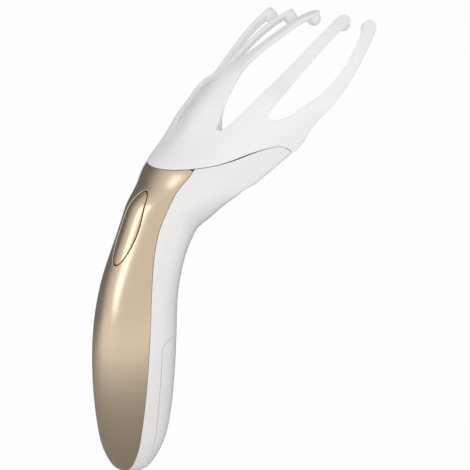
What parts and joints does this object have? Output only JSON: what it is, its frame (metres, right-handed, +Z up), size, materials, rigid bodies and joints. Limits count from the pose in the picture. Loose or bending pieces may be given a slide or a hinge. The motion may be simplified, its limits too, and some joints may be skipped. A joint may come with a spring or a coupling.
{
  "type": "electric scalp massager",
  "caption": "Hand-held scalp massager: bowed champagne and white handle, arched palm with long beaded fingers, oval button and lift-off battery door.",
  "frame": {"origin": "middle of the hand grip, on the axis of the handle, 60 mm above its lower tip", "axes": "+Z up the handle towards the head, +X to the rear, where the palm leans and the battery door is, -X to the button, +Y to one side; the XZ plane is the plane of symmetry"},
  "size_m": [0.141, 0.0906, 0.2136],
  "materials": {
    "soft_white": "soft satin, smooth moulded head and fingers",
    "bead_white": "soft satin, round ends of the fingers",
    "champagne": "satin metallic champagne paint on moulded plastic",
    "button_champagne": "satin metallic champagne paint",
    "gloss_white": "gloss, warm white",
    "door_white": "gloss, warm white",
    "catch_white": "gloss, warm white, ribbed",
    "membrane": "matte black seal under the button",
    "board": "green circuit board",
    "switch_black": "matte black switch housing",
    "plunger_black": "matte black plunger",
    "motor_steel": "drawn steel can",
    "shaft_steel": "ground shaft",
    "weight_brass": "turned weight",
    "sleeve_rubber": "soft sleeve round the motor",
    "inner_plastic": "plain moulded inner parts",
    "cell_wrap": "plain wrapped cell",
    "contact_metal": "plated spring strip",
    "screw_steel": "zinc plated screws"
  },
  "bodies": {
    "handle": {"front_shell": "champagne", "rear_shell": "gloss_white", "claw_head": "soft_white", "finger_bead_1": "bead_white", "finger_bead_2": "bead_white", "finger_bead_3": "bead_white", "finger_bead_4": "bead_white", "finger_bead_5": "bead_white", "button_membrane": "membrane", "circuit_board": "board", "board_screws": "screw_steel", "switch_body": "switch_black", "motor_can": "motor_steel", "motor_sleeve": "sleeve_rubber", "motor_cradle": "inner_plastic", "motor_clamp": "inner_plastic", "cell_left": "cell_wrap", "cell_right": "cell_wrap", "bridge_contact": "contact_metal", "upper_contacts": "contact_metal", "case_screws": "screw_steel", "head_screws": "screw_steel", "head_plug": "inner_plastic"},
    "battery_cover": {"battery_door": "door_white"},
    "catch": {"door_catch": "catch_white"},
    "button": {"power_button": "button_champagne", "switch_plunger": "plunger_black"},
    "rotor": {"motor_shaft": "shaft_steel", "eccentric_weight": "weight_brass"}
  },
  "joints": [
    {"name": "door_slide", "type": "slide", "parent": "handle", "child": "battery_cover", "axis": [1, 0, 0], "range_m": [0, 0.03]},
    {"name": "catch_slide", "type": "slide", "parent": "handle", "child": "catch", "axis": [0.1219, 0, 0.9925], "range_m": [0, 0.002], "stiffness_N_per_m": 300, "springref_m": -0.001},
    {"name": "button_press", "type": "slide", "parent": "handle", "child": "button", "axis": [0.8788, 0, -0.4772], "range_m": [0, 0.0006], "stiffness_N_per_m": 2000, "springref_m": -0.0003},
    {"name": "motor_spin", "type": "hinge", "parent": "handle", "child": "rotor", "pos_m": [0.01498, 0, 0.04876], "axis": [0.4772, 0, 0.8788], "continuous": true}
  ]
}
